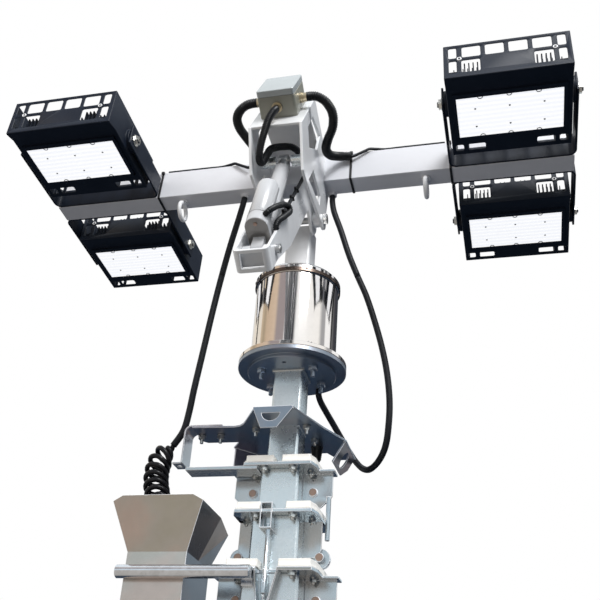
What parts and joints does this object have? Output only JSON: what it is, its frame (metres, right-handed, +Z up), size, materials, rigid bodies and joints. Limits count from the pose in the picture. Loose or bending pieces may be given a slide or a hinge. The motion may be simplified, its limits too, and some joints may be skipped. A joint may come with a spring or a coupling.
{
  "type": "telescopic light mast with slewing and tilting floodlight head",
  "caption": "Telescopic square-tube light mast with a slewing rotator, a ram-tilted crossbar head and LED floodlights in yokes, with a cable basket and curly cord.",
  "frame": {"origin": "middle of the underside of the base flange, on the mast axis", "axes": "+Z up along the mast, +X along the crossbar, -Y towards the front, where the tilting arm points"},
  "size_m": [1.644, 0.8257, 2.652],
  "materials": {
    "galvanised": "satin",
    "galv_light": "satin",
    "zinc_blue": "satin",
    "white_paint": "gloss",
    "nylon_white": "matte",
    "steel_bright": "polished",
    "dark_steel": "satin",
    "black_paint": "satin",
    "black_alu": "matte",
    "lamp_glass": "polished",
    "box_grey": "satin",
    "lid_grey": "satin",
    "brass": "polished",
    "black_rubber": "matte",
    "ram_grey": "satin"
  },
  "bodies": {
    "outer_mast": {"base_flange": "galvanised", "outer_tube": "galvanised", "collar_4": "zinc_blue", "pads_4": "nylon_white", "cable_basket": "galvanised", "basket_rail": "galvanised"},
    "section_3": {"tube_3": "galv_light", "collar_3": "zinc_blue", "pads_3": "nylon_white", "pull_rope": "steel_bright"},
    "section_2": {"tube_2": "galv_light", "collar_2": "zinc_blue", "pads_2": "nylon_white"},
    "top_section": {"top_tube": "galv_light", "rotator_base": "zinc_blue", "cable_bracket": "zinc_blue", "hanger_strap": "galv_light", "curly_cord": "black_rubber", "drop_cable_left_lower": "black_rubber", "drop_cable_right_lower": "black_rubber"},
    "turret": {"rotator_drum": "white_paint", "post": "white_paint", "tilt_arm": "white_paint", "arm_pins": "steel_bright", "arm_cable": "black_rubber"},
    "ram": {"ram_body": "ram_grey", "ram_conduit": "black_rubber"},
    "ram_rod": {"ram_rod": "steel_bright"},
    "tilt_head": {"head_frame": "white_paint", "cross_tube": "galv_light", "crossbar": "white_paint", "lifting_eyes": "white_paint", "junction_box": "box_grey", "box_lid": "lid_grey", "box_glands": "brass", "conduit_left": "black_rubber", "conduit_right": "black_rubber", "conduit_front": "black_rubber", "bar_cables": "black_rubber", "drop_cable_left_upper": "black_rubber", "drop_cable_right_upper": "black_rubber", "yoke_1": "black_paint", "yoke_2": "black_paint", "yoke_3": "black_paint", "yoke_4": "black_paint"},
    "lamp_1": {"housing_1": "black_paint", "heat_sink_1": "black_alu", "lens_1": "lamp_glass"},
    "lamp_2": {"housing_2": "black_paint", "heat_sink_2": "black_alu", "lens_2": "lamp_glass"},
    "lamp_3": {"housing_3": "black_paint", "heat_sink_3": "black_alu", "lens_3": "lamp_glass"},
    "lamp_4": {"housing_4": "black_paint", "heat_sink_4": "black_alu", "lens_4": "lamp_glass"}
  },
  "joints": [
    {"name": "mast_extend", "type": "slide", "parent": "outer_mast", "child": "section_3", "axis": [0, 0, 1], "range_m": [0, 1], "deforming": ["pull_rope"]},
    {"name": "section_2_slide", "type": "slide", "parent": "outer_mast", "child": "section_2", "axis": [0, 0, 1], "range_m": [0, 2]},
    {"name": "top_slide", "type": "slide", "parent": "outer_mast", "child": "top_section", "axis": [0, 0, 1], "range_m": [0, 3], "deforming": ["curly_cord"]},
    {"name": "pan", "type": "hinge", "parent": "top_section", "child": "turret", "pos_m": [0, 0, 1.845], "axis": [0, 0, 1], "range_deg": [-170, 170], "deforming": ["drop_cable_left_lower", "drop_cable_right_lower"]},
    {"name": "tilt", "type": "hinge", "parent": "turret", "child": "tilt_head", "pos_m": [0, -0.045, 2.327], "axis": [-1, 0, 0], "range_deg": [0, 86.6], "deforming": ["drop_cable_left_upper", "drop_cable_right_upper"]},
    {"name": "ram_pivot", "type": "hinge", "parent": "turret", "child": "ram", "pos_m": [0, -0.392, 1.987], "axis": [-1, 0, 0], "range_deg": [0, 16.6], "deforming": ["ram_conduit"]},
    {"name": "ram_stroke", "type": "slide", "parent": "ram", "child": "ram_rod", "axis": [0, 0.3474, 0.9377], "range_m": [0, 0.2374]},
    {"name": "lamp_1_tilt", "type": "hinge", "parent": "tilt_head", "child": "lamp_1", "pos_m": [-0.63, -0.28942, 2.49579], "axis": [1, 0, 0], "range_deg": [-45, 45]},
    {"name": "lamp_2_tilt", "type": "hinge", "parent": "tilt_head", "child": "lamp_2", "pos_m": [0.63, -0.28942, 2.49579], "axis": [1, 0, 0], "range_deg": [-45, 45]},
    {"name": "lamp_3_tilt", "type": "hinge", "parent": "tilt_head", "child": "lamp_3", "pos_m": [-0.63, 0.2097, 2.46614], "axis": [1, 0, 0], "range_deg": [-45, 45]},
    {"name": "lamp_4_tilt", "type": "hinge", "parent": "tilt_head", "child": "lamp_4", "pos_m": [0.63, 0.2097, 2.46614], "axis": [1, 0, 0], "range_deg": [-45, 45]}
  ],
  "couplings": [
    {"joint": "section_2_slide", "follows": "mast_extend", "ratio": 2},
    {"joint": "top_slide", "follows": "mast_extend", "ratio": 3},
    {"joint": "ram_pivot", "follows": "tilt", "ratio": 0.19159},
    {"joint": "ram_stroke", "follows": "tilt", "m_per_rad": 0.15699}
  ]
}
